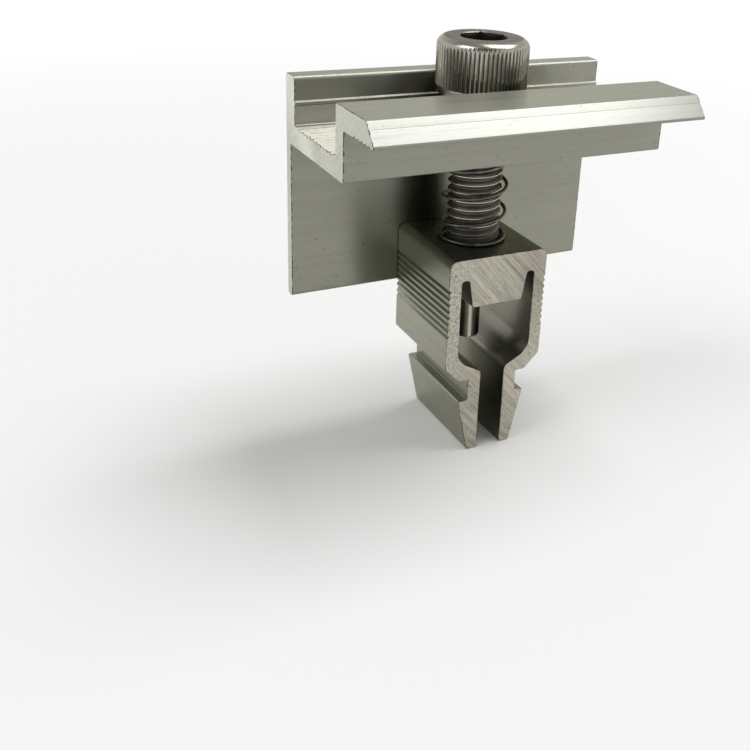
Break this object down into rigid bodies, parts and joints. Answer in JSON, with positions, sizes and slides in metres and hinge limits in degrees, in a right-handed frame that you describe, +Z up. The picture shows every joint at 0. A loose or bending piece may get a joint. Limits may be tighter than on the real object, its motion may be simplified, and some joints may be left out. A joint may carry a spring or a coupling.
{
  "type": "solar end clamp",
  "caption": "End clamp that holds the edge of a framed panel down on a slotted rail, with a socket screw, a split washer, a lifting spring and a click-in nut.",
  "frame": {"origin": "where the screw's axis meets the plane that the nut's feet rest on, which is the rail's top face", "axes": "+X along the clamp's extrusion, +Y along the rail's slot away from the panel, +Z up out of the rail"},
  "size_m": [0.05, 0.0293, 0.0609],
  "materials": {
    "clamp_aluminium": "satin extruded, saw-cut ends",
    "nut_aluminium": "satin extruded, saw-cut ends",
    "screw_steel": "bright",
    "washer_steel": "bright",
    "spring_steel": "dark drawn wire"
  },
  "bodies": {
    "nut": {"rail_nut": "nut_aluminium", "lift_spring": "spring_steel"},
    "clamp": {"end_clamp": "clamp_aluminium", "lock_washer": "washer_steel"},
    "screw": {"clamp_bolt": "screw_steel"}
  },
  "joints": [
    {"name": "clamp_travel", "type": "slide", "parent": "nut", "child": "clamp", "axis": [0, 0, -1], "range_m": [0, 0.01], "deforming": ["lift_spring"]},
    {"name": "bolt_turn", "type": "hinge", "parent": "clamp", "child": "screw", "pos_m": [0, 0, 0.041], "axis": [0, 0, -1], "range_deg": [0, 2880]}
  ],
  "couplings": [
    {"joint": "bolt_turn", "follows": "clamp_travel", "rad_per_m": 5026.5}
  ]
}
